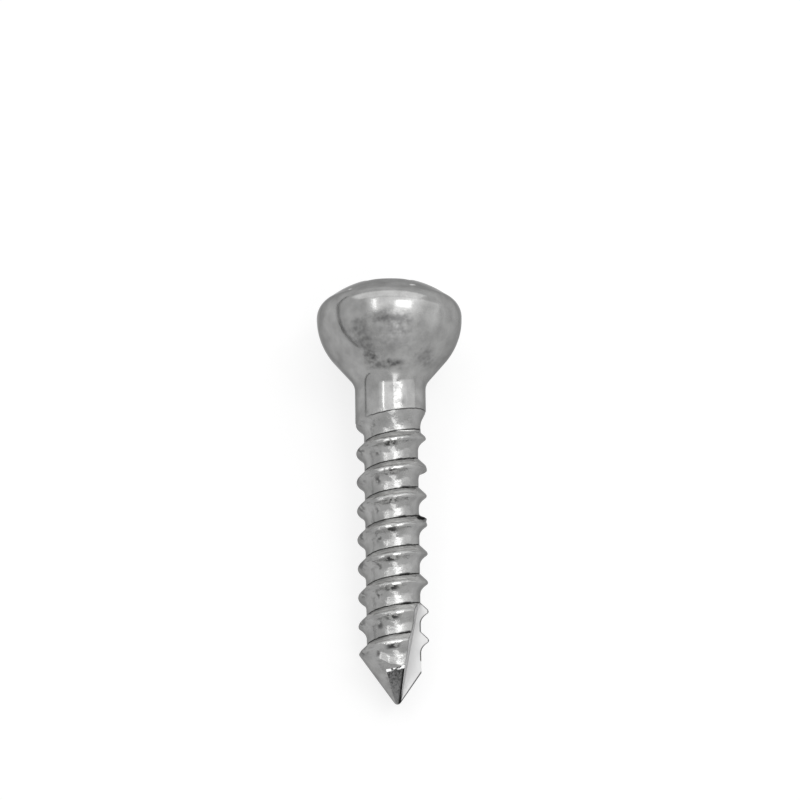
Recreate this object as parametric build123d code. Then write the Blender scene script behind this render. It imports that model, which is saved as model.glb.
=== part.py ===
# Orthopedic bone screw: a small self-tapping cortical screw, turned from one bar.
# It is modelled upright on its own axis, nose at z = 0 and head up, with the side that
# shows facing -Y, and is then laid on its side as it comes to rest.
from build123d import *
from math import asin, atan2, ceil, cos, degrees, hypot, pi, radians, sin, sqrt, tan
import os

# Head (mm, degrees)
head_diameter = 3.00
crown_edge_diameter = 2.52  # edge where the domed crown meets the rounded rim
crown_radius = 2.07
rim_height = 0.387  # from the straight band up to the crown's edge
rim_land = 0.01  # straight band at the widest place
seat_half_angle = 41.0  # conical seat under the head
seat_blend_radius = 1.38  # rounds the seat into the rim

# Hexagon socket
socket_across_flats = 1.50
socket_depth = 0.95  # flats, below the crown's edge
socket_mouth_diameter = 1.60  # countersunk lead-in, where it meets the crown
socket_mouth_angle = 90.0
socket_floor_angle = 120.0  # left by the drill

# Neck and shank
neck_diameter = 1.46
neck_fillet = 0.37
shank_length = 6.72  # from the nose to the corner between neck and seat

# Thread, single start and right-handed
thread_diameter = 1.44
core_diameter = 1.10
pitch = 0.606
first_crest = 0.558  # height of a crest on the side that shows
crest_width = 0.04
flank_head = 0.17  # flank that faces the head, along the axis
flank_point = 0.125  # flank that faces the point, down to its flatter foot
foot_height = 0.045
foot_width = 0.10
ridge_sink = 0.03  # how far the ridge reaches into the core
thread_start = 255.0  # where the ridge starts, degrees round from the side that shows
groove_end_gap = 0.005  # the groove dies out on the left, this far below the crest

# Run-out of the thread into the neck
thread_length = 6.025  # from the nose, on the side that shows
runout_half_angle = 44.0
runout_lean = 9.0  # the groove reaches further up the neck on the right

# Point
tip_angle = 70.0
nose_radius = 0.08
point_shift = 0.055  # the point is ground off centre, towards the flute that shows

# Cutting flutes: a flat face through the axis and a wall that leans away from it
flute_count = 2
flute_length = 2.15  # from the nose
flute_lean = 11.0
flute_web = 0.105  # half thickness left between the flutes at the nose
flute_turn = 4.0
flute_end_radius = 0.25

# Facet ground on the point, beside each flute
facet_half_angle = 29.4
facet_turn = 12.0
facet_slant = 22.0  # its upper end follows the thread
facet_depth = 0.105  # step down from the core at its upper end
facet_length = 0.74  # from the nose

head_r = head_diameter / 2
crown_edge_r = crown_edge_diameter / 2
neck_r = neck_diameter / 2
thread_r = thread_diameter / 2
core_r = core_diameter / 2
thread_depth = thread_r - core_r
seat_angle = radians(seat_half_angle)
tip_half = radians(tip_angle / 2)
clear = head_diameter  # reach of the cutting tools past the screw
from_below = (Align.CENTER, Align.CENTER, Align.MIN)
from_above = (Align.CENTER, Align.CENTER, Align.MAX)

# Heights above the nose
apex_z = nose_radius - nose_radius / sin(tip_half)  # where the point's cone would end
rim_corner_z = shank_length + (head_r - neck_r) / tan(seat_angle)
rim_bottom_z = rim_corner_z + seat_blend_radius * tan(seat_angle / 2)
rim_top_z = rim_bottom_z + rim_land
crown_edge_z = rim_top_z + rim_height
crown_centre_z = crown_edge_z - sqrt(crown_radius**2 - crown_edge_r**2)
crown_top_z = crown_centre_z + crown_radius
runout_depth = neck_r / tan(radians(runout_half_angle))  # from there down to the run-out cone's apex
runout_side = neck_r - runout_depth * sin(radians(runout_lean))
runout_top = runout_side / tan(radians(runout_half_angle - runout_lean))
neck_bottom_z = thread_length - runout_depth * cos(radians(runout_lean)) + runout_top + crest_width


def head_and_neck():
    """The turned head and the plain neck."""
    fillet_run = neck_fillet * tan(seat_angle / 2)
    neck_end = (neck_r, shank_length - fillet_run)
    seat_start = (neck_r + fillet_run * sin(seat_angle), shank_length + fillet_run * cos(seat_angle))
    seat_end_r = head_r - seat_blend_radius * (1 - cos(seat_angle))
    seat_end = (seat_end_r, rim_bottom_z - seat_blend_radius * sin(seat_angle))
    rim_step = head_r - crown_edge_r
    rim_radius = (rim_height**2 + rim_step**2) / (2 * rim_step)
    crown_half = asin(crown_edge_r / crown_radius) / 2
    crown_mid = (crown_radius * sin(crown_half), crown_centre_z + crown_radius * cos(crown_half))
    with BuildPart() as turned:
        with BuildSketch(Plane.XZ):
            with BuildLine():
                Line((0, crown_top_z), (0, neck_bottom_z))
                Line((0, neck_bottom_z), (neck_r, neck_bottom_z))
                Line((neck_r, neck_bottom_z), neck_end)
                RadiusArc(neck_end, seat_start, neck_fillet)
                Line(seat_start, seat_end)
                RadiusArc(seat_end, (head_r, rim_bottom_z), -seat_blend_radius)
                Line((head_r, rim_bottom_z), (head_r, rim_top_z))
                RadiusArc((head_r, rim_top_z), (crown_edge_r, crown_edge_z), -rim_radius)
                ThreePointArc((crown_edge_r, crown_edge_z), crown_mid, (0, crown_top_z))
            make_face()
        revolve(axis=Axis.Z)
    return turned.part


def runout():
    """Lower end of the neck, trimmed by a leaning cone where the groove dies out."""
    half = radians(runout_half_angle)
    cone = Cone(0, clear, clear / tan(half), align=from_below)
    leaning = Pos(0, 0, thread_length) * Rot(0, -runout_lean, 0) * Pos(0, 0, -runout_depth) * cone
    neck = Cylinder(neck_r, neck_bottom_z - thread_length + runout_depth, align=from_above)
    return Pos(0, 0, neck_bottom_z) * neck & leaning


def thread():
    """Core with one ridge swept round it, from the point to inside the neck."""
    half_crest = crest_width / 2
    root_r = core_r - ridge_sink
    corner = half_crest + flank_head * (thread_r - root_r) / thread_depth
    knee = half_crest + flank_point
    foot = knee + foot_width * (foot_height + ridge_sink) / foot_height
    bottom_z = apex_z - pitch / 2
    start_z = first_crest + pitch * thread_start / 360
    ridge_height = thread_length + pitch / 2 - start_z
    with BuildPart() as ridge:
        with BuildLine() as helix:
            Helix(pitch, ridge_height, thread_r)
        with BuildSketch(Plane.XZ):
            with BuildLine():
                Polyline(
                    (root_r, corner),
                    (thread_r, half_crest),
                    (thread_r, -half_crest),
                    (core_r + foot_height, -knee),
                    (root_r, -foot),
                    close=True,
                )
            make_face()
        sweep(path=helix.line, is_frenet=True)
    core = Cylinder(core_r, neck_bottom_z - bottom_z, align=from_below)
    return Pos(0, 0, start_z) * Rot(0, 0, thread_start - 90) * ridge.part + Pos(0, 0, bottom_z) * core


def groove_end():
    """Fills the groove under the first turn on the left, with the core's round shifted that way."""
    top_z = first_crest + pitch * 270 / 360
    lead = degrees(atan2(pitch, 2 * pi * thread_r))
    round_core = Cylinder(core_r, top_z - apex_z, align=from_above)
    return Pos(groove_end_gap - thread_depth, 0, top_z) * Rot(-lead, 0, 0) * round_core


def outside_point():
    """Everything outside the rounded cone that the point is turned to."""
    nose_end = (nose_radius * cos(tip_half), nose_radius - nose_radius * sin(tip_half))
    cone_end = (clear, apex_z + clear / tan(tip_half))
    low_z = apex_z - clear
    with BuildPart() as waste:
        with BuildSketch(Plane.XZ):
            with BuildLine():
                RadiusArc((0, 0), nose_end, -nose_radius)
                Polyline(nose_end, cone_end, (clear, low_z), (0, low_z), (0, 0))
            make_face()
        revolve(axis=Axis.Z)
    return Pos(point_shift, 0, 0) * waste.part


def flute():
    """Notch for one cutting edge, with a rounded upper end."""
    lean = tan(radians(flute_lean))
    low_z = apex_z - pitch
    corner = (flute_web + flute_length * lean, flute_length)
    with BuildPart() as notch:
        with BuildSketch(Plane.XZ):
            with BuildLine():
                FilletPolyline(
                    (flute_web + low_z * lean, low_z),
                    corner,
                    (clear, flute_length),
                    radius=flute_end_radius,
                )
                Polyline((clear, flute_length), (clear, low_z), (flute_web + low_z * lean, low_z))
            make_face()
        extrude(amount=clear)
    return Rot(0, 0, -flute_turn) * notch.part


def facet():
    """Flat ground on the point, stopping in a low step at its upper end."""
    turn = radians(facet_turn)
    tilt = radians(facet_half_angle)
    outward = Vector(sin(turn), -cos(turn), 0)
    normal = outward * cos(tilt) - Vector(0, 0, sin(tilt))
    middle = outward * (core_r - facet_depth) + Vector(0, 0, facet_length)
    plane = Plane(origin=middle, x_dir=(cos(turn), sin(turn), 0), z_dir=normal)
    block = Box(clear, clear, clear, align=(Align.CENTER, Align.MAX, Align.MIN))
    return plane * Rot(0, 0, facet_slant) * block


def socket():
    """Hexagon socket with a countersunk mouth and the drill's cone at its floor."""
    floor_z = crown_edge_z - socket_depth
    inner_r = socket_across_flats / 2
    mouth_r = socket_mouth_diameter / 2
    mouth_z = crown_centre_z + sqrt(crown_radius**2 - mouth_r**2)
    mouth_slope = tan(radians(socket_mouth_angle / 2))
    with BuildPart() as hexagon:
        with BuildSketch(Plane.XY.offset(floor_z)):
            RegularPolygon(inner_r, 6, major_radius=False)
        extrude(amount=crown_top_z - floor_z)
    drill = Cone(0, inner_r, inner_r / tan(radians(socket_floor_angle / 2)), align=from_above)
    mouth = Cone(0, clear, clear / mouth_slope, align=from_below)
    return hexagon.part + Pos(0, 0, floor_z) * drill + Pos(0, 0, mouth_z - mouth_r / mouth_slope) * mouth


def rest_tilt():
    """Angle between axis and table with the screw lying on its head and its last thread."""
    flank_slope = flank_head / thread_depth
    underside_crest = first_crest + pitch * (ceil((thread_start - 180) / 360) + 0.5)
    tilts = []
    for turn in range(3):
        top = underside_crest + turn * pitch + crest_width / 2
        cut_z = (thread_r * flank_slope + top + apex_z * tan(tip_half) * flank_slope) / (
            1 + tan(tip_half) * flank_slope
        )
        touch_z = max(top, cut_z)
        touch_r = min(thread_r, (touch_z - apex_z) * tan(tip_half))
        along = rim_bottom_z - touch_z
        across = head_r - seat_blend_radius - touch_r
        tilts.append(atan2(across, along) + asin(seat_blend_radius / hypot(along, across)))
    return degrees(min(tilts))


def screw():
    body = thread() + groove_end() - outside_point()
    body = body + runout() + head_and_neck() - socket()
    for place in PolarLocations(0, flute_count):
        body = body - place * flute() - place * facet()
    return body


def lay_down(body):
    """Head towards +Y, the side that shows up, origin under the middle of the box."""
    lying = Rot(rest_tilt() - 90, 0, 0) * body
    box = lying.bounding_box()
    return Pos(-box.center().X, -box.center().Y, -box.min.Z) * lying


os.makedirs("parts", exist_ok=True)
bone_screw = lay_down(screw())
bone_screw.label = "bone_screw"
print("rest tilt", round(rest_tilt(), 3), "volume", round(bone_screw.volume, 4), bone_screw.bounding_box())
export_step(bone_screw, "parts/bone_screw.step")
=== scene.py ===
import math

import bpy
from mathutils import Matrix, Vector


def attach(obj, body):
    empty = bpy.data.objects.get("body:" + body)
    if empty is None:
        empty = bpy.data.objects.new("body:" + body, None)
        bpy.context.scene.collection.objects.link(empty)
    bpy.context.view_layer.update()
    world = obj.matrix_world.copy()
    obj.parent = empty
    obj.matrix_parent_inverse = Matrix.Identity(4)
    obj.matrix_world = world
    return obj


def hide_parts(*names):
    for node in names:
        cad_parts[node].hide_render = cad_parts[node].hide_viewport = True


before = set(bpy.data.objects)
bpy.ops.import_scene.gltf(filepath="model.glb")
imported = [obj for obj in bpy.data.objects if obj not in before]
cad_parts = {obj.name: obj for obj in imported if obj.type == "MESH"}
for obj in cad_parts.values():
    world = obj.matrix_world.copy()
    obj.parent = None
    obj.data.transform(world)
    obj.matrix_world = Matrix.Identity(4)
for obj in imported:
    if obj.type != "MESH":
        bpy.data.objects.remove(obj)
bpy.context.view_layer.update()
scene = bpy.context.scene
scene.view_settings.view_transform = "Standard"
print("frame loaded, nodes:", sorted(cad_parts))

# The screw is modelled upright in millimetres, nose at zero, the side that shows facing -Y.
# It is scaled to metres and laid down at the end.
lying = {
    "tilt": 6.788,  # axis above the table, degrees
    "nose": (0.0, -4.409, 0.544),  # mm, where the nose comes to lie
}


def clearSelection():
    if bpy.context.object and bpy.context.object.mode == "EDIT":
        bpy.ops.object.mode_set(mode="OBJECT")
    bpy.ops.object.select_all(action="DESELECT")


def pick(piece):
    clearSelection()
    piece.select_set(True)
    bpy.context.view_layer.objects.active = piece


def drawOutline(name, points):
    clearSelection()
    startX, startZ = points[0]
    bpy.ops.mesh.primitive_plane_add(size=0.01, location=(startX, 0, startZ))
    piece = bpy.context.object
    piece.name = name
    bpy.ops.object.transform_apply(location=True, rotation=True, scale=True)
    bpy.ops.object.mode_set(mode="EDIT")
    bpy.ops.mesh.select_all(action="SELECT")
    bpy.ops.mesh.merge(type="CENTER")
    for before, after in zip(points, points[1:]):
        step = (after[0] - before[0], 0, after[1] - before[1])
        bpy.ops.mesh.extrude_vertices_move(TRANSFORM_OT_translate={"value": step})
    bpy.ops.object.mode_set(mode="OBJECT")
    return piece


def closeUp(piece, threshold=0.0004):
    pick(piece)
    bpy.ops.object.mode_set(mode="EDIT")
    bpy.ops.mesh.select_all(action="SELECT")
    bpy.ops.mesh.remove_doubles(threshold=threshold)
    bpy.ops.mesh.normals_make_consistent(inside=False)
    bpy.ops.object.mode_set(mode="OBJECT")


def turnOutline(piece, steps):
    pick(piece)
    bpy.ops.object.mode_set(mode="EDIT")
    bpy.ops.mesh.select_all(action="SELECT")
    bpy.ops.mesh.spin(steps=steps, angle=2 * math.pi, center=(0, 0, 0), axis=(0, 0, 1))
    bpy.ops.object.mode_set(mode="OBJECT")
    closeUp(piece)


def arcPoints(centre, radius, fromDeg, toDeg, count):
    points = []
    for i in range(count + 1):
        a = math.radians(fromDeg + (toDeg - fromDeg) * i / count)
        points.append((centre[0] + radius * math.cos(a), centre[1] + radius * math.sin(a)))
    return points


def combine(piece, tool, operation):
    pick(piece)
    bpy.ops.object.modifier_add(type="BOOLEAN")
    step = piece.modifiers[-1]
    step.operation = operation
    step.solver = "EXACT"
    step.material_mode = "TRANSFER"
    step.object = tool
    bpy.ops.object.modifier_apply(modifier=step.name)
    bpy.data.objects.remove(tool)


def wear(piece, finish):
    piece.data.materials.clear()
    piece.data.materials.append(finish)


# Camera
view = {
    "pointSide": 13.3,  # degrees that the camera stands towards the point, off square to the axis
    "roll": 0.85,  # degrees, the point leans to the right
    "distance": 150.0,  # mm
    "fieldWidth": 16.508,  # mm across the picture at that distance
    "aimHeight": 6.394,  # mm from the nose, at the middle of the picture
    "aimSide": 0.198,
}


def axisPoint(height, side=0.0, front=0.0):
    tilt = math.radians(lying["tilt"])
    along = Vector((0, math.cos(tilt), math.sin(tilt)))
    up = Vector((0, -math.sin(tilt), math.cos(tilt)))
    return Vector(lying["nose"]) + along * height + up * front + Vector((side, 0, 0))


def addCamera():
    lift = math.radians(90 - lying["tilt"] - view["pointSide"])
    roll = math.radians(view["roll"])
    back = Vector((0, -math.cos(lift), math.sin(lift)))
    plainUp = Vector((0, math.sin(lift), math.cos(lift)))
    right = Vector((1, 0, 0))
    up = plainUp * math.cos(roll) + right * math.sin(roll)
    side = right * math.cos(roll) - plainUp * math.sin(roll)
    bpy.ops.object.camera_add()
    camera = bpy.context.object
    camera.data.sensor_width = 36.0
    camera.data.lens = 36.0 * view["distance"] / view["fieldWidth"]
    place = (axisPoint(view["aimHeight"], view["aimSide"]) + back * view["distance"]) * 0.001
    turn = Matrix((side, up, back)).transposed()
    camera.matrix_world = Matrix.Translation(place) @ turn.to_4x4()
    camera.data.clip_start = 0.002
    camera.data.clip_end = 5.0
    scene.camera = camera


addCamera()
print("camera set")


# Thread: one pitch of the outline, swept up the core
thread = {
    "crest": 0.72,
    "root": 0.555,
    "pitch": 0.606,
    "crestHeight": 0.558,  # of one crest on the side that shows
    "crestRound": 0.035,  # how far the sharp ridge is worn down
    "flankHead": 0.195,  # length of the flank that faces the head, along the axis
    "flankPoint": 0.27,  # the flank that faces the point eases into the root
    "flankPower": 2.5,
    "startTurn": (200.0, 255.0),  # degrees round, over which the ridge rises from the core
    "fillShift": 0.165,  # closes the groove towards the point, on the left
    "burr": (85.0, 3.875, 0.1),  # degrees round, height and thickness of a lump on one turn
    "turns": 12,
    "turnsBelow": 2,
    "steps": 128,
}


# Point: cone with a rounded nose, two flutes and a ground facet beside each
point = {
    "angle": 70.0,
    "nose": 0.08,
    "shift": 0.055,  # ground off centre, towards the flute that shows
    "steps": 160,
    "fluteLength": 2.15,
    "fluteLean": 11.0,
    "fluteWeb": 0.105,
    "fluteTurn": -4.0,
    "fluteRound": 0.25,
    "facetAngle": 29.4,
    "facetTurn": 12.0,
    "facetSlant": 22.0,
    "facetDepth": 0.105,
    "facetLength": 0.74,
}


# Finishes
def mathStep(tree, operation, *values):
    node = tree.nodes.new("ShaderNodeMath")
    node.operation = operation
    for socket, value in zip(node.inputs, values):
        if isinstance(value, (int, float)):
            socket.default_value = value
        else:
            tree.links.new(value, socket)
    return node.outputs[0]


def softStep(tree, value, low, high):
    node = tree.nodes.new("ShaderNodeMapRange")
    node.interpolation_type = "SMOOTHSTEP"
    node.inputs["From Min"].default_value = low
    node.inputs["From Max"].default_value = high
    tree.links.new(value, node.inputs["Value"])
    return node.outputs["Result"]


def near(tree, value, middle, inner, outer):
    away = mathStep(tree, "ABSOLUTE", mathStep(tree, "SUBTRACT", value, middle))
    return mathStep(tree, "SUBTRACT", 1.0, softStep(tree, away, inner, outer))


def both(tree, *masks):
    total = masks[0]
    for mask in masks[1:]:
        total = mathStep(tree, "MULTIPLY", total, mask)
    return total


def either(tree, *masks):
    total = masks[0]
    for mask in masks[1:]:
        total = mathStep(tree, "MAXIMUM", total, mask)
    return total


def grain(tree, place, scale, detail, stretch=(1, 1, 1)):
    spread = tree.nodes.new("ShaderNodeVectorMath")
    spread.operation = "MULTIPLY"
    spread.inputs[1].default_value = stretch
    tree.links.new(place, spread.inputs[0])
    node = tree.nodes.new("ShaderNodeTexNoise")
    node.inputs["Scale"].default_value = scale
    node.inputs["Detail"].default_value = detail
    tree.links.new(spread.outputs[0], node.inputs["Vector"])
    return node.outputs["Fac"]


def newGroup(name, gives, takes=()):
    tree = bpy.data.node_groups.new(name, "ShaderNodeTree")
    for label, kind in takes:
        tree.interface.new_socket(label, in_out="INPUT", socket_type=kind)
    for label in gives:
        tree.interface.new_socket(label, in_out="OUTPUT", socket_type="NodeSocketFloat")
    return tree


def groupEnd(tree, **values):
    end = tree.nodes.new("NodeGroupOutput")
    for label, value in values.items():
        tree.links.new(value, end.inputs[label])


def screwPlace(tree):
    # back to the upright screw in mm
    turn = math.radians(90 - lying["tilt"])
    coords = tree.nodes.new("ShaderNodeTexCoord")
    mapping = tree.nodes.new("ShaderNodeMapping")
    mapping.inputs["Location"].default_value = -(Matrix.Rotation(turn, 3, "X") @ Vector(lying["nose"]))
    mapping.inputs["Rotation"].default_value = (turn, 0, 0)
    mapping.inputs["Scale"].default_value = (1000, 1000, 1000)
    tree.links.new(coords.outputs["Object"], mapping.inputs["Vector"])
    return mapping.outputs["Vector"]


def roundPlace(tree, place):
    split = tree.nodes.new("ShaderNodeSeparateXYZ")
    tree.links.new(place, split.inputs[0])
    x, y, height = split.outputs
    angle = mathStep(tree, "ARCTAN2", x, mathStep(tree, "MULTIPLY", y, -1.0))
    square = mathStep(tree, "ADD", mathStep(tree, "MULTIPLY", x, x), mathStep(tree, "MULTIPLY", y, y))
    return angle, height, mathStep(tree, "SQRT", square)


# Painted light and dark spots that follow the thread: painted shade as a line in the root's corner, with thicker
# streaks, and under the run-out's edge; dark spots; a flank painted brighter and made rougher; painted glints on the
# crest
marks = {
    "corner": 0.322,  # pitches above the crest
    "lineWidth": (0.01, 0.034),
    "streak": (0.45, 0.15, 0.4),  # middle, full and faded reach round the screw, radians
    "flankSpot": (-0.5, 0.03, 0.16),
    "underCrest": (-0.03, 0.08, 0.3),
    "leftCrest": (-1.15, 0.05, 0.3),
    "paintedGlint": (-0.04, 0.26, 0.42),
    "neckEdge": (6.022, 0.117),  # height and lean of the run-out's edge, mm
}


def makeThreadLightAndSpots():
    tree = newGroup("threadLightAndSpots", ("Dark", "Flank", "Shine"))
    place = screwPlace(tree)
    angle, height, radius = roundPlace(tree, place)
    climbed = mathStep(tree, "DIVIDE", mathStep(tree, "SUBTRACT", height, thread["crestHeight"]), thread["pitch"])
    turned = mathStep(tree, "DIVIDE", angle, 2 * math.pi)
    phase = mathStep(tree, "WRAP", mathStep(tree, "SUBTRACT", climbed, turned), 0.45, -0.55)
    fine = grain(tree, place, 9.0, 3.0)
    broad = grain(tree, place, 2.6, 2.0)
    spotty = grain(tree, place, 9.0, 5.0)
    shaky = mathStep(tree, "MULTIPLY_ADD", fine, 0.05, -0.025)
    # Painted shade: a dark line in the root's corner, with thicker dark streaks of it on the right
    corner = mathStep(tree, "SUBTRACT", mathStep(tree, "ADD", phase, shaky), marks["corner"])
    line = near(tree, corner, 0.0, *marks["lineWidth"])
    streak = both(
        tree, near(tree, corner, 0.0, 0.025, 0.07), near(tree, angle, *marks["streak"]), softStep(tree, broad, 0.44, 0.56)
    )
    # Dark spots at set places round the screw on every turn: on the flank, just under the crest and on the left
    # crest
    flankSpot = both(
        tree, near(tree, angle, *marks["flankSpot"]), near(tree, phase, -0.26, 0.03, 0.2), softStep(tree, spotty, 0.42, 0.6)
    )
    under = both(
        tree, near(tree, angle, *marks["underCrest"]), near(tree, phase, -0.11, 0.03, 0.1),
        softStep(tree, spotty, 0.44, 0.52),
    )
    left = both(
        tree, near(tree, angle, *marks["leftCrest"]), near(tree, phase, -0.02, 0.04, 0.2), softStep(tree, spotty, 0.45, 0.6)
    )
    # Painted shade in a line just under the run-out's edge
    middle, lean = marks["neckEdge"]
    edge = mathStep(tree, "MULTIPLY_ADD", mathStep(tree, "SINE", angle), lean, middle)
    below = mathStep(tree, "SUBTRACT", mathStep(tree, "MULTIPLY_ADD", shaky, 0.6, height), edge)
    rim = both(tree, near(tree, below, -0.012, 0.005, 0.016), softStep(tree, angle, -0.85, -0.5))
    threaded = both(tree, softStep(tree, height, 0.8, 0.95), near(tree, height, 3.0, 2.84, 2.9))
    dark = either(
        tree, line, streak, mathStep(tree, "MULTIPLY", flankSpot, 0.75), mathStep(tree, "MULTIPLY", under, 0.9),
        mathStep(tree, "MULTIPLY", left, 0.6),
    )
    # Painted light: the flank that faces the head gets a brighter colour, towards the front and back only; the same
    # mask makes it rougher
    facing = near(tree, mathStep(tree, "SINE", angle), 0.0, 0.6, 0.92)
    paintedFlank = both(tree, softStep(tree, phase, 0.05, 0.16), near(tree, phase, 0.1, 0.19, 0.22), facing)
    dark = either(tree, both(tree, dark, threaded), mathStep(tree, "MULTIPLY", rim, 0.8))
    # Painted glints on the crest, towards the front
    paintedGlint = both(
        tree, near(tree, phase, -0.01, 0.015, 0.05), near(tree, angle, *marks["paintedGlint"]),
        softStep(tree, grain(tree, place, 7.0, 5.0), 0.47, 0.53), threaded,
    )
    groupEnd(tree, Dark=dark, Flank=both(tree, paintedFlank, threaded), Shine=paintedGlint)
    return tree


def makeSoftPatch():
    tree = newGroup("softPatch", ("Mask",), (("Centre", "NodeSocketVector"), ("Reach", "NodeSocketVector")))
    start = tree.nodes.new("NodeGroupInput")
    place = screwPlace(tree)
    away = tree.nodes.new("ShaderNodeVectorMath")
    away.operation = "SUBTRACT"
    tree.links.new(place, away.inputs[0])
    tree.links.new(start.outputs["Centre"], away.inputs[1])
    share = tree.nodes.new("ShaderNodeVectorMath")
    share.operation = "DIVIDE"
    tree.links.new(away.outputs[0], share.inputs[0])
    tree.links.new(start.outputs["Reach"], share.inputs[1])
    size = tree.nodes.new("ShaderNodeVectorMath")
    size.operation = "LENGTH"
    tree.links.new(share.outputs[0], size.inputs[0])
    cloud = grain(tree, place, 7.0, 5.0)
    ragged = mathStep(tree, "MULTIPLY_ADD", cloud, 1.6, -0.8)
    reach = mathStep(tree, "ADD", size.outputs["Value"], ragged)
    mottle = mathStep(tree, "MULTIPLY_ADD", softStep(tree, grain(tree, place, 10.0, 8.0), 0.25, 0.75), 0.9, 0.3)
    soft = mathStep(tree, "SUBTRACT", 1.0, softStep(tree, reach, 0.1, 1.3))
    groupEnd(tree, Mask=mathStep(tree, "MULTIPLY", soft, mottle))
    return tree


def makeSurface():
    tree = newGroup("wornSurface", ("Tone", "Gloss", "Height"))
    place = screwPlace(tree)
    angle, height, radius = roundPlace(tree, place)
    mottled = grain(tree, place, 3.4, 6.0)
    lines = grain(tree, place, 3.0, 4.0, (1, 1, 24))
    dents = grain(tree, place, 9.0, 3.0, (1, 1, 1.6))
    speck = grain(tree, place, 40.0, 2.0)
    tone = mathStep(tree, "MULTIPLY_ADD", mottled, 0.9, 0.55)
    tone = mathStep(tree, "MULTIPLY_ADD", mathStep(tree, "SUBTRACT", speck, 0.5), 0.2, tone)
    # duller thread, bright neck, satin head with a dull middle
    onNeck = softStep(tree, height, 5.98, 6.12)
    onCrown = softStep(tree, height, 7.8, 8.05)
    besideLine = mathStep(tree, "MULTIPLY_ADD", height, 0.32, angle)
    underHead = both(
        tree, softStep(tree, height, 6.6, 6.9), mathStep(tree, "SUBTRACT", 1.0, onCrown),
        softStep(tree, besideLine, 2.02, 2.3),
    )
    gloss = mathStep(tree, "MULTIPLY_ADD", mottled, 0.14, 0.13)
    gloss = mathStep(tree, "MULTIPLY_ADD", onNeck, -0.06, gloss)
    gloss = mathStep(tree, "MULTIPLY_ADD", onCrown, 0.02, gloss)
    gloss = mathStep(tree, "MULTIPLY_ADD", underHead, 0.24, gloss)
    dented = both(
        tree, near(tree, angle, 0.22, 0.12, 0.25), mathStep(tree, "SUBTRACT", 1.0, softStep(tree, height, 6.5, 6.8))
    )
    smooth = mathStep(tree, "MULTIPLY", onNeck, mathStep(tree, "MULTIPLY_ADD", dented, -0.5, 0.92))
    smooth = mathStep(tree, "SUBTRACT", 1.0, smooth)
    relief = mathStep(tree, "MULTIPLY_ADD", lines, 0.012, mathStep(tree, "MULTIPLY", dents, smooth))
    relief = mathStep(tree, "MULTIPLY_ADD", speck, 0.012, relief)
    groupEnd(tree, Tone=tone, Gloss=gloss, Height=relief)
    return tree


threadLightAndSpots = makeThreadLightAndSpots()
softPatch = makeSoftPatch()
wornSurface = makeSurface()


def useGroup(tree, group):
    node = tree.nodes.new("ShaderNodeGroup")
    node.node_tree = group
    return node


def blend(tree, mask, first, second):
    node = tree.nodes.new("ShaderNodeMix")
    node.data_type = "RGBA"
    tree.links.new(mask, node.inputs[0])
    for socket, value in ((node.inputs[6], first), (node.inputs[7], second)):
        if isinstance(value, tuple):
            socket.default_value = (*value, 1)
        else:
            tree.links.new(value, socket)
    return node.outputs[2]


def shade(tree, colour, tone):
    node = tree.nodes.new("ShaderNodeVectorMath")
    node.operation = "SCALE"
    tree.links.new(colour, node.inputs[0])
    tree.links.new(tone, node.inputs["Scale"])
    return node.outputs[0]


def newFinish(name, colour, roughness, edgeTint=1.0):
    finish = bpy.data.materials.new(name)
    finish.use_nodes = True
    shader = finish.node_tree.nodes["Principled BSDF"]
    shader.inputs["Base Color"].default_value = (*colour, 1)
    shader.inputs["Metallic"].default_value = 1.0
    shader.inputs["Roughness"].default_value = roughness
    shader.inputs["Specular Tint"].default_value = (edgeTint, edgeTint, edgeTint, 1)
    return finish


def addBump(tree, shader, height, strength, distance):
    bump = tree.nodes.new("ShaderNodeBump")
    bump.inputs["Strength"].default_value = strength
    bump.inputs["Distance"].default_value = distance
    tree.links.new(height, bump.inputs["Height"])
    tree.links.new(bump.outputs["Normal"], shader.inputs["Normal"])


# Patches: middle and reach in mm, strength, tone. Darker patches on the head and neck, with painted reflection,
# painted shade, painted glints and a painted shadow among them
patches = [
    ((-0.10, -1.45, 7.80), (0.42, 0.40, 0.15), 0.8, 0.09),
    ((0.28, -1.40, 7.78), (0.30, 0.40, 0.13), 0.5, 0.1),
    # painted reflection: these three darken the head along the line where the dark card is reflected
    ((-0.64, -1.20, 7.62), (0.20, 0.50, 0.20), 0.7, 0.1),
    ((-0.50, -1.10, 7.38), (0.18, 0.50, 0.20), 0.8, 0.08),
    ((-0.38, -0.95, 7.12), (0.15, 0.50, 0.22), 1.0, 0.05),
    ((0.02, -0.95, 6.95), (0.36, 0.40, 0.11), 0.9, 0.07),
    ((0.75, -0.75, 7.1), (0.26, 0.40, 0.24), 0.6, 0.1),
    ((-0.05, -1.25, 7.45), (0.85, 0.60, 0.50), 0.55, 0.17),
    # painted shade over a lamp's reflection on the head
    ((0.18, -1.35, 7.62), (0.30, 0.40, 0.22), 0.7, 0.14),
    ((0.13, -0.72, 6.52), (0.12, 0.20, 0.16), 0.8, 0.13),
    ((0.18, -0.72, 6.22), (0.13, 0.20, 0.14), 0.8, 0.13),
    # painted glints on two nicks in the crown's edge
    ((-0.79, -0.98, 8.52), (0.05, 0.12, 0.03), 2.0, 0.85),
    ((0.49, -1.12, 8.57), (0.06, 0.14, 0.03), 2.0, 0.85),
    # painted shadow under the burr, with a dark pit
    ((0.60, -0.24, 3.865), (0.15, 0.32, 0.085), 2.2, 0.01),
]


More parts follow.
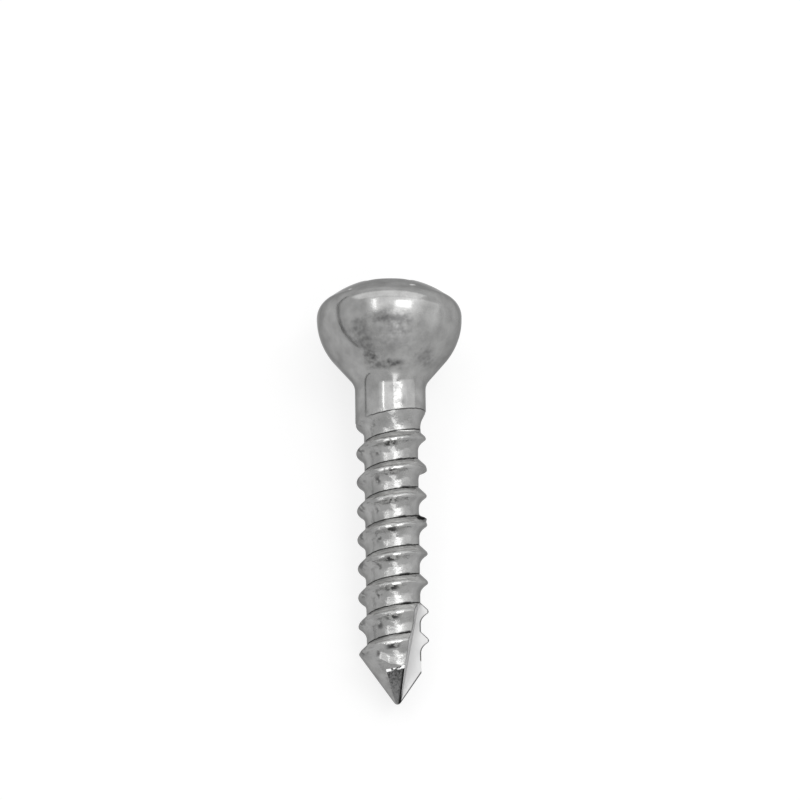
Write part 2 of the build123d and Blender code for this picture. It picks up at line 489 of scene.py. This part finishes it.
def makeTurnedSteel():
    finish = newFinish("turnedSteel", (0.3, 0.3, 0.3), 0.25, 0.5)
    tree = finish.node_tree
    shader = tree.nodes["Principled BSDF"]
    surface = useGroup(tree, wornSurface)
    paintedLightAndSpots = useGroup(tree, threadLightAndSpots)
    # Painted light: brighter colour on the flank that faces the head
    colour = blend(tree, paintedLightAndSpots.outputs["Flank"], (0.315, 0.315, 0.312), (0.62, 0.62, 0.61))
    colour = shade(tree, colour, surface.outputs["Tone"])
    # Painted glints on the crest
    colour = blend(tree, paintedLightAndSpots.outputs["Shine"], colour, (0.8, 0.8, 0.79))
    # The patches, some of them painted reflection, painted shade, painted glints and a painted shadow
    for centre, reach, strength, tone in patches:
        patch = useGroup(tree, softPatch)
        patch.inputs["Centre"].default_value = centre
        patch.inputs["Reach"].default_value = reach
        mask = mathStep(tree, "MINIMUM", mathStep(tree, "MULTIPLY", patch.outputs["Mask"], strength), 1.0)
        colour = blend(tree, mask, colour, (tone, tone, tone))
    # Painted shade in the root's corner and under the run-out's edge, with the dark spots
    colour = blend(tree, paintedLightAndSpots.outputs["Dark"], colour, (0.025, 0.025, 0.025))
    tree.links.new(colour, shader.inputs["Base Color"])
    dull = mathStep(tree, "MULTIPLY_ADD", paintedLightAndSpots.outputs["Flank"], 0.22, surface.outputs["Gloss"])
    tree.links.new(dull, shader.inputs["Roughness"])
    addBump(tree, shader, surface.outputs["Height"], 0.9, 0.000013)
    return finish


# Flute: even and bright, with a dark line along its outer edges and darker along its wall
def fluteDepth(tree, place):
    # mm from the wall beside the facet
    around, lean = math.radians(point["fluteTurn"]), math.tan(math.radians(point["fluteLean"]))
    split = tree.nodes.new("ShaderNodeSeparateXYZ")
    tree.links.new(place, split.inputs[0])
    x, y, height = split.outputs
    across = mathStep(tree, "MULTIPLY_ADD", x, math.cos(around), mathStep(tree, "MULTIPLY", y, math.sin(around)))
    foot = mathStep(tree, "MULTIPLY_ADD", height, lean, point["fluteWeb"])
    return mathStep(tree, "SUBTRACT", mathStep(tree, "ABSOLUTE", across), foot)


def makeFluteEdge():
    tree = newGroup("fluteEdge", ("Line", "Tone"))
    place = screwPlace(tree)
    angle, height, radius = roundPlace(tree, place)
    climbed = mathStep(tree, "SUBTRACT", height, thread["crestHeight"])
    turned = mathStep(tree, "MULTIPLY", angle, thread["pitch"] / (2 * math.pi))
    away = mathStep(tree, "WRAP", mathStep(tree, "SUBTRACT", climbed, turned), 0.275, -0.331)
    sharp = thread["crest"] + thread["crestRound"]
    headSide = mathStep(tree, "SUBTRACT", sharp, away)
    share = mathStep(tree, "MAXIMUM", mathStep(tree, "MULTIPLY_ADD", away, 1 / thread["flankPoint"], 1.0), 0.0)
    rising = mathStep(tree, "POWER", share, thread["flankPower"])
    pointSide = mathStep(tree, "MULTIPLY_ADD", rising, sharp - thread["root"], thread["root"])
    outline = mathStep(tree, "MINIMUM", mathStep(tree, "MINIMUM", headSide, pointSide), thread["crest"])
    outline = mathStep(tree, "MAXIMUM", outline, thread["root"])
    cone = mathStep(tree, "MULTIPLY_ADD", height, math.tan(math.radians(35)), 0.0966)
    left = mathStep(tree, "SUBTRACT", mathStep(tree, "MINIMUM", outline, cone), radius)
    wall = near(tree, fluteDepth(tree, place), 0.0, 0.006, 0.02)
    line = mathStep(tree, "SUBTRACT", 1.0, softStep(tree, left, 0.012, 0.032))
    wallLine = both(tree, wall, mathStep(tree, "SUBTRACT", 1.0, softStep(tree, left, 0.06, 0.13)))
    cloud = grain(tree, place, 5.0, 4.0, (1, 1, 0.4))
    tone = mathStep(tree, "MULTIPLY_ADD", cloud, 0.14, 0.93)
    tone = mathStep(tree, "MULTIPLY_ADD", wall, -0.35, tone)
    groupEnd(tree, Line=either(tree, line, wallLine), Tone=tone)
    return tree


def makeMilledFlute():
    finish = newFinish("milledFlute", (0.2, 0.2, 0.2), 0.4)
    tree = finish.node_tree
    shader = tree.nodes["Principled BSDF"]
    edge = useGroup(tree, makeFluteEdge())
    colour = blend(tree, edge.outputs["Line"], (0.49, 0.49, 0.49), (0.04, 0.04, 0.04))
    tree.links.new(shade(tree, colour, edge.outputs["Tone"]), shader.inputs["Base Color"])
    return finish


# Facet: rough grinding, darker towards its upper end, with painted shadow beside the flute and in the corner by the
# flute at its top, and painted sparkles along its top edge
def makeGritShadeSparkle():
    tree = newGroup("grindingGritShadeSparkle", ("Tone", "Height", "Spark"))
    place = screwPlace(tree)
    angle, height, radius = roundPlace(tree, place)
    grit = grain(tree, place, 34.0, 4.0, (1, 1, 0.6))
    lift = mathStep(tree, "SUBTRACT", 1.0, softStep(tree, height, 0.1, 0.78))
    tone = mathStep(tree, "MULTIPLY_ADD", lift, 0.5, mathStep(tree, "MULTIPLY_ADD", grit, 2.4, -0.75))
    beside = softStep(tree, fluteDepth(tree, place), -0.06, -0.015)
    corner = both(
        tree, softStep(tree, fluteDepth(tree, place), -0.16, -0.08), softStep(tree, height, 0.6, 0.72)
    )
    shadow = mathStep(tree, "SUBTRACT", 1.0, either(tree, beside, corner))
    tone = mathStep(tree, "MULTIPLY", mathStep(tree, "MAXIMUM", tone, 0.05), shadow)
    split = tree.nodes.new("ShaderNodeSeparateXYZ")
    tree.links.new(place, split.inputs[0])
    across = mathStep(tree, "MULTIPLY", split.outputs[0], mathStep(tree, "SIGN", split.outputs[1]))
    below = mathStep(tree, "SUBTRACT", mathStep(tree, "MULTIPLY_ADD", across, 0.218, height), 0.666)
    # Painted sparkles along the facet's top edge
    paintedSparkle = both(
        tree, softStep(tree, below, -0.042, -0.022), softStep(tree, grain(tree, place, 8.0, 4.0), 0.46, 0.54)
    )
    groupEnd(tree, Tone=tone, Height=grit, Spark=paintedSparkle)
    return tree


def makeGroundFacet():
    finish = newFinish("groundFacet", (0.12, 0.12, 0.12), 0.5)
    tree = finish.node_tree
    shader = tree.nodes["Principled BSDF"]
    grit = useGroup(tree, makeGritShadeSparkle())
    colour = blend(tree, grit.outputs["Tone"], (0.008, 0.008, 0.008), (0.16, 0.16, 0.16))
    # Painted sparkles along the facet's top edge
    colour = blend(tree, grit.outputs["Spark"], colour, (0.9, 0.9, 0.9))
    tree.links.new(colour, shader.inputs["Base Color"])
    addBump(tree, shader, grit.outputs["Height"], 0.4, 0.00002)
    return finish


turnedSteel = makeTurnedSteel()
milledFlute = makeMilledFlute()
groundFacet = makeGroundFacet()
broachedSocket = newFinish("broachedSocket", (0.45, 0.45, 0.45), 0.35)
print("finishes made")


# Head and neck, turned in one outline
head = {
    "rim": 1.50,  # radii and heights in mm from here on
    "rimLand": 0.01,
    "rimHeight": 0.387,
    "crownEdge": 1.26,
    "crownCurve": 2.07,
    "seatAngle": 41.0,
    "seatBlend": 1.38,
    "neck": 0.73,
    "neckFillet": 0.37,
    "neckCorner": 6.72,
    "neckLow": 4.9,  # hidden in the thread until the run-out is cut
    "edgeBreak": 0.02,
    "steps": 176,
}
seat = math.radians(head["seatAngle"])
rimBottom = head["neckCorner"] + (head["rim"] - head["neck"]) / math.tan(seat)
rimBottom += head["seatBlend"] * math.tan(seat / 2)
rimTop = rimBottom + head["rimLand"]
crownEdgeHeight = rimTop + head["rimHeight"]
crownCentre = crownEdgeHeight - math.sqrt(head["crownCurve"] ** 2 - head["crownEdge"] ** 2)


def headOutline():
    filletRun = head["neckFillet"] * math.tan(seat / 2)
    filletCentre = (head["neck"] + head["neckFillet"], head["neckCorner"] - filletRun)
    blendCentre = (head["rim"] - head["seatBlend"], rimBottom)
    rimStep = head["rim"] - head["crownEdge"]
    rimCurve = (head["rimHeight"] ** 2 + rimStep**2) / (2 * rimStep)
    rimCentre = (head["rim"] - rimCurve, rimTop)
    rimEnd = math.degrees(math.asin(head["rimHeight"] / rimCurve))
    crownStart = math.degrees(math.acos(head["crownEdge"] / head["crownCurve"]))
    rimBreak = math.degrees(head["edgeBreak"] / rimCurve)
    crownBreak = math.degrees(head["edgeBreak"] / head["crownCurve"])
    points = [(0, head["neckLow"]), (head["neck"], head["neckLow"])]
    points += [(head["neck"], 5.5 + 0.1 * i) for i in range(11)]
    points += arcPoints(filletCentre, head["neckFillet"], 180, 180 - head["seatAngle"], 10)
    points += arcPoints(blendCentre, head["seatBlend"], -head["seatAngle"], 0, 22)
    points += arcPoints(rimCentre, rimCurve, 0, rimEnd - rimBreak, 14)
    points += arcPoints((0, crownCentre), head["crownCurve"], crownStart + crownBreak, 89.9, 22)
    points.append((0, crownCentre + head["crownCurve"]))
    return points


def makeHead():
    piece = drawOutline("screwHead", headOutline())
    turnOutline(piece, head["steps"])
    wear(piece, turnedSteel)
    return piece


def threadOutline():
    middle = thread["crestHeight"] + thread["pitch"] * (0.25 - thread["turnsBelow"])
    sharp = thread["crest"] + thread["crestRound"]
    shoulder = thread["crest"] - thread["crestRound"]
    depth = sharp - thread["root"]
    rootLow, rootHigh = thread["flankHead"] - thread["pitch"], -thread["flankPoint"]
    outline = []
    for i in range(4):
        outline.append((thread["root"], rootLow + (rootHigh - rootLow) * i / 4))
    reach = ((shoulder - thread["root"]) / depth) ** (1 / thread["flankPower"])
    for i in range(10):  # concave flank
        share = reach * i / 10
        outline.append((thread["root"] + depth * share ** thread["flankPower"], rootHigh * (1 - share)))
    low, high = rootHigh * (1 - reach), 2 * thread["crestRound"]
    for i in range(9):  # rounded crest
        share = i / 8
        a, b, c = (1 - share) ** 2, 2 * share * (1 - share), share**2
        outline.append((shoulder * (a + c) + sharp * b, low * a + high * c))
    for i in range(1, 5):
        share = i / 4
        outline.append((shoulder + (thread["root"] - shoulder) * share, high + (thread["flankHead"] - high) * share))
    return [(r, z + middle) for r, z in outline]


def makeThread():
    piece = drawOutline("screwThread", threadOutline())
    pick(piece)
    bpy.ops.object.modifier_add(type="SCREW")
    sweep = piece.modifiers[-1]
    sweep.axis = "Z"
    sweep.angle = 2 * math.pi
    sweep.screw_offset = thread["pitch"]
    sweep.iterations = thread["turns"]
    sweep.steps = thread["steps"]
    sweep.render_steps = thread["steps"]
    bpy.ops.object.modifier_apply(modifier=sweep.name)
    closeUp(piece)
    shapeStart(piece)
    raiseBurr(piece)
    for end in ("low", "high"):
        closeEnd(piece, end)
    closeUp(piece)
    wear(piece, turnedSteel)
    return piece


def shapeStart(piece):
    corner = thread["flankHead"]
    first, full = thread["startTurn"]
    for vertex in piece.data.vertices:
        x, y, z = vertex.co
        radius, angle = math.hypot(x, y), math.atan2(x, -y)
        place = (z - thread["crestHeight"]) / thread["pitch"] - angle / (2 * math.pi)
        turn = math.ceil(place - corner / thread["pitch"] - 1e-4)
        above = place - turn  # from the crest of that turn, in pitches
        around = math.degrees(angle) + 360 * turn
        if around > 360:
            continue
        rise = min(max((around - first) / (full - first), 0), 1)
        rise = rise * rise * (3 - 2 * rise)
        shaped = thread["root"] + (radius - thread["root"]) * rise
        if above <= 0 or around < 0:
            shift = thread["fillShift"]
            inside = thread["root"] ** 2 - (shift * math.cos(angle)) ** 2
            shaped = max(shaped, -shift * math.sin(angle) + math.sqrt(inside))
        vertex.co.x = x * shaped / radius
        vertex.co.y = y * shaped / radius


def raiseBurr(piece):
    around, height, thick = thread["burr"]
    for vertex in piece.data.vertices:
        x, y, z = vertex.co
        if abs(z - height) > 0.2:
            continue
        radius, angle = math.hypot(x, y), math.degrees(math.atan2(x, -y))
        swell = thick * math.exp(-(((z - height) / 0.05) ** 2) - ((angle - around) / 15) ** 2)
        raised = min(radius + swell, max(radius, thread["crest"] + 0.008))
        vertex.co.x = x * raised / radius
        vertex.co.y = y * raised / radius


def closeEnd(piece, end):
    pick(piece)
    bpy.ops.object.mode_set(mode="EDIT")
    bpy.ops.mesh.select_mode(type="EDGE")
    bpy.ops.mesh.select_all(action="DESELECT")
    bpy.ops.mesh.select_non_manifold(
        extend=False, use_wire=False, use_boundary=True, use_multi_face=False,
        use_non_contiguous=False, use_verts=False,
    )
    bpy.ops.object.mode_set(mode="OBJECT")
    mesh = piece.data
    for edge in mesh.edges:
        middle = sum((mesh.vertices[v].co.z for v in edge.vertices)) / 2
        if edge.select and (middle < 3) != (end == "low"):
            edge.select = False
    for vertex in mesh.vertices:
        if vertex.select and (vertex.co.z < 3) != (end == "low"):
            vertex.select = False
    bpy.ops.object.mode_set(mode="EDIT")
    bpy.ops.mesh.extrude_edges_move(TRANSFORM_OT_translate={"value": (0, 0, 0)})
    bpy.ops.mesh.merge(type="CENTER")
    bpy.ops.mesh.select_mode(type="VERT")
    bpy.ops.object.mode_set(mode="OBJECT")


# Run-out: a leaning flare eases the lower end of the neck into the core
runout = {
    "height": 6.025,  # on the side that shows
    "halfAngle": 44.0,  # at the edge
    "lean": 9.0,
    "ease": 0.17,  # how fast the flare slims down
    "shoulder": 1.6,  # above 1 rounds its upper edge
    "length": 0.6,
}


def cutRunout(piece):
    spread = math.tan(math.radians(runout["halfAngle"]))
    drop = head["neck"] - thread["root"] - 0.001
    outline = [(0, -1.2), (1.5, -1.2), (1.5, 0.5), (head["neck"] + 0.5 * spread, 0.5)]
    for i in range(17):
        down = runout["length"] * i / 16
        slim = 1 - math.exp(-((down / runout["ease"]) ** runout["shoulder"]))
        outline.append((head["neck"] - drop * slim, -down))
    outline.append((0, -runout["length"]))
    waste = drawOutline("runoutWaste", outline)
    turnOutline(waste, head["steps"])
    wear(waste, turnedSteel)
    lean = Matrix.Rotation(-math.radians(runout["lean"]), 4, "Y")
    waste.matrix_world = Matrix.Translation((0, 0, runout["height"])) @ lean
    pick(waste)
    bpy.ops.object.transform_apply(location=True, rotation=True, scale=True)
    combine(piece, waste, "DIFFERENCE")
    closeUp(piece, 0.0002)


def sharpenPoint(piece):
    half = math.radians(point["angle"] / 2)
    nose = point["nose"]
    apex = nose - nose / math.sin(half)
    points = arcPoints((0, nose), nose, -90, -point["angle"] / 2, 10)
    points += [(0.9, apex + 0.9 / math.tan(half)), (0.9, 8.0), (0, 8.0)]
    envelope = drawOutline("pointEnvelope", points)
    turnOutline(envelope, point["steps"])
    envelope.location.x = point["shift"]
    pick(envelope)
    bpy.ops.object.transform_apply(location=True, rotation=True, scale=True)
    wear(envelope, turnedSteel)
    combine(piece, envelope, "INTERSECT")


def cutFlute(piece, turn):
    lean = math.tan(math.radians(point["fluteLean"]))
    low, high, far = -0.6, point["fluteLength"], 3.0
    clearSelection()
    bpy.ops.mesh.primitive_cube_add(size=2.0)
    notch = bpy.context.object
    notch.name = "fluteNotch"
    for vertex in notch.data.vertices:
        z = high if vertex.co.z > 0 else low
        vertex.co.y = 0.0 if vertex.co.y > 0 else -far
        vertex.co.x = far if vertex.co.x > 0 else point["fluteWeb"] + z * lean
        vertex.co.z = z
    bpy.ops.object.mode_set(mode="EDIT")
    bpy.ops.mesh.select_mode(type="EDGE")
    bpy.ops.mesh.select_all(action="DESELECT")
    bpy.ops.object.mode_set(mode="OBJECT")
    corner = point["fluteWeb"] + high * lean
    for edge in notch.data.edges:
        ends = [notch.data.vertices[v].co for v in edge.vertices]
        edge.select = all(abs(e.x - corner) < 0.001 and abs(e.z - high) < 0.001 for e in ends)
    bpy.ops.object.mode_set(mode="EDIT")
    opening = math.radians(90 + point["fluteLean"])
    bpy.ops.mesh.bevel(offset=point["fluteRound"] / math.tan(opening / 2), segments=12, clamp_overlap=False)
    bpy.ops.mesh.select_mode(type="VERT")
    bpy.ops.object.mode_set(mode="OBJECT")
    notch.rotation_euler.z = math.radians(turn + point["fluteTurn"])
    bpy.ops.object.transform_apply(location=True, rotation=True, scale=True)
    wear(notch, milledFlute)
    combine(piece, notch, "DIFFERENCE")


def cutFacet(piece, turn):
    tilt, around = math.radians(point["facetAngle"]), math.radians(point["facetTurn"])
    outward = Vector((math.sin(around), -math.cos(around), 0))
    normal = outward * math.cos(tilt) - Vector((0, 0, math.sin(tilt)))
    along = Vector((math.cos(around), math.sin(around), 0))
    across = normal.cross(along)
    middle = outward * (thread["root"] - point["facetDepth"]) + Vector((0, 0, point["facetLength"]))
    clearSelection()
    bpy.ops.mesh.primitive_cube_add(size=3.0)
    block = bpy.context.object
    block.name = "facetBlock"
    for vertex in block.data.vertices:
        vertex.co += Vector((0, -1.5, 1.5))
    plane = Matrix((along, across, normal)).transposed().to_4x4()
    block.matrix_world = (
        Matrix.Rotation(math.radians(turn), 4, "Z")
        @ Matrix.Translation(middle)
        @ plane
        @ Matrix.Rotation(math.radians(point["facetSlant"]), 4, "Z")
    )
    pick(block)
    bpy.ops.object.transform_apply(location=True, rotation=True, scale=True)
    wear(block, groundFacet)
    combine(piece, block, "DIFFERENCE")


# Hexagon socket with a countersunk mouth and the drill's cone at its floor
socket = {
    "acrossFlats": 1.50,
    "depth": 0.95,
    "mouth": 0.80,
    "mouthAngle": 90.0,
    "floorAngle": 120.0,
}


def cutSocket(piece):
    floor = crownEdgeHeight - socket["depth"]
    inner = socket["acrossFlats"] / 2
    mouthHeight = crownCentre + math.sqrt(head["crownCurve"] ** 2 - socket["mouth"] ** 2)
    top = 9.4
    drill = inner / math.tan(math.radians(socket["floorAngle"] / 2))
    spread = math.tan(math.radians(socket["mouthAngle"] / 2))
    clearSelection()
    bpy.ops.mesh.primitive_cylinder_add(
        vertices=6, radius=inner / math.cos(math.pi / 6), depth=top - floor,
        location=(0, 0, (top + floor) / 2), rotation=(0, 0, math.radians(30)),
    )
    hexagon = bpy.context.object
    bpy.ops.object.transform_apply(location=True, rotation=True, scale=True)
    wear(hexagon, broachedSocket)
    combine(piece, hexagon, "DIFFERENCE")
    drillShape = drawOutline("drillCone", [(0, floor - drill), (inner, floor), (inner, floor + 0.05), (0, floor + 0.05)])
    turnOutline(drillShape, 96)
    wear(drillShape, broachedSocket)
    combine(piece, drillShape, "DIFFERENCE")
    low = mouthHeight - socket["mouth"] / spread
    mouthShape = drawOutline("mouthCone", [(0, low), ((top - low) * spread, top), (0, top)])
    turnOutline(mouthShape, head["steps"])
    wear(mouthShape, turnedSteel)
    combine(piece, mouthShape, "DIFFERENCE")


def layDown(piece):
    piece.rotation_euler = (math.radians(lying["tilt"] - 90), 0, 0)
    piece.scale = (0.001, 0.001, 0.001)
    piece.location = Vector(lying["nose"]) * 0.001
    pick(piece)
    bpy.ops.object.transform_apply(location=True, rotation=True, scale=True)


def makeScrew():
    body = makeThread()
    print("thread swept", len(body.data.polygons))
    sharpenPoint(body)
    print("point turned", len(body.data.polygons))
    top = makeHead()
    cutRunout(top)
    print("run-out cut", len(top.data.polygons))
    combine(body, top, "UNION")
    print("head joined", len(body.data.polygons))
    cutSocket(body)
    for turn in (0, 180):
        cutFlute(body, turn)
        cutFacet(body, turn)
    print("point and socket cut", len(body.data.polygons))
    closeUp(body, 0.0002)
    body.name = "screwBody"
    body.data.name = "screwBody"
    layDown(body)
    bpy.ops.object.shade_smooth_by_angle(angle=math.radians(28))
    return body


screwBody = makeScrew()
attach(screwBody, "root")
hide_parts("bone_screw")
print("screw made, triangles:", sum(len(p.vertices) - 2 for p in screwBody.data.polygons))


# Table and light
studio = {
    "floorColour": (0.32, 0.32, 0.32),
    "floorLift": 0.76,  # white to the eye and in the metal
    "worldLight": 0.3,
    "worldWhite": 0.97,
}


def whiteToEye(nodes, links):
    seen = nodes.new("ShaderNodeLightPath")
    total = None
    for ray in ("Is Camera Ray", "Is Glossy Ray", "Is Transmission Ray"):
        if total is None:
            total = seen.outputs[ray]
            continue
        add = nodes.new("ShaderNodeMath")
        add.operation = "ADD"
        add.use_clamp = True
        links.new(total, add.inputs[0])
        links.new(seen.outputs[ray], add.inputs[1])
        total = add.outputs[0]
    return total


def scaled(nodes, links, value, factor, offset):
    level = nodes.new("ShaderNodeMath")
    level.operation = "MULTIPLY_ADD"
    level.inputs[1].default_value = factor
    level.inputs[2].default_value = offset
    links.new(value, level.inputs[0])
    return level.outputs[0]


def addFloor():
    clearSelection()
    bpy.ops.mesh.primitive_plane_add(size=1.2)
    floor = bpy.context.object
    floor.name = "paleTable"
    finish = bpy.data.materials.new("paleTable")
    finish.use_nodes = True
    nodes, links = finish.node_tree.nodes, finish.node_tree.links
    shader = nodes["Principled BSDF"]
    shader.inputs["Base Color"].default_value = (*studio["floorColour"], 1)
    shader.inputs["Roughness"].default_value = 0.9
    shader.inputs["Specular IOR Level"].default_value = 0.0
    shader.inputs["Emission Color"].default_value = (1, 1, 1, 1)
    glow = scaled(nodes, links, whiteToEye(nodes, links), studio["floorLift"], 0.0)
    links.new(glow, shader.inputs["Emission Strength"])
    floor.data.materials.append(finish)


def addWorld():
    world = bpy.data.worlds.new("studioWhite")
    scene.world = world
    world.use_nodes = True
    nodes, links = world.node_tree.nodes, world.node_tree.links
    background = nodes["Background"]
    background.inputs["Color"].default_value = (1, 1, 1, 1)
    lift = studio["worldWhite"] - studio["worldLight"]
    level = scaled(nodes, links, whiteToEye(nodes, links), lift, studio["worldLight"])
    links.new(level, background.inputs["Strength"])


def addPanel(name, acrossDeg, towardsHeadDeg, distance, width, height, radiance):
    a, b = math.radians(acrossDeg), math.radians(towardsHeadDeg)
    toLight = Vector((math.sin(a), math.cos(a) * math.sin(b), math.cos(a) * math.cos(b)))
    along = Vector((0, math.cos(b), -math.sin(b)))
    turn = Matrix((along.cross(toLight), along, toLight)).transposed()
    place = Vector((0, 0, 0.001)) + toLight * distance
    clearSelection()
    bpy.ops.object.light_add(type="AREA")
    panel = bpy.context.object
    panel.name = name
    panel.data.shape = "RECTANGLE"
    panel.data.size = width
    panel.data.size_y = height
    panel.matrix_world = Matrix.Translation(place) @ turn.to_4x4()
    panel.data.energy = radiance * math.pi * width * height  # watts for that radiance


def addCard(name, x, length, height):
    clearSelection()
    bpy.ops.mesh.primitive_plane_add(size=1.0, location=(x, 0, height / 2), rotation=(0, math.pi / 2, 0))
    card = bpy.context.object
    card.name = name
    card.scale = (height, length, 1)
    bpy.ops.object.transform_apply(location=True, rotation=True, scale=True)
    finish = bpy.data.materials.new(name)
    finish.use_nodes = True
    shader = finish.node_tree.nodes["Principled BSDF"]
    shader.inputs["Base Color"].default_value = (0.85, 0.85, 0.85, 1)
    shader.inputs["Specular IOR Level"].default_value = 0.0
    card.data.materials.append(finish)


addFloor()
addWorld()
addPanel("mainBox", 22, 6, 0.3, 0.125, 0.08, 2.4)
addPanel("flankBox", 15, -33, 0.3, 0.07, 0.3, 1.8)
for share, distance in ((1.0, 0.34), (0.8, 0.355), (0.6, 0.37)):  # soft edged
    addPanel("softBox", 8, 16, distance, 0.66 * share, 0.32 * share, 0.29)
addPanel("sideGlow", 54, 8, 0.3, 0.34, 0.2, 0.4)
addPanel("stripBox", -22, 9, 0.3, 0.016, 0.16, 3.4)
addPanel("backGlow", 0, 56, 0.5, 0.95, 0.32, 0.7)
addCard("leftCard", -0.3, 0.7, 0.035)
print("table and light set")
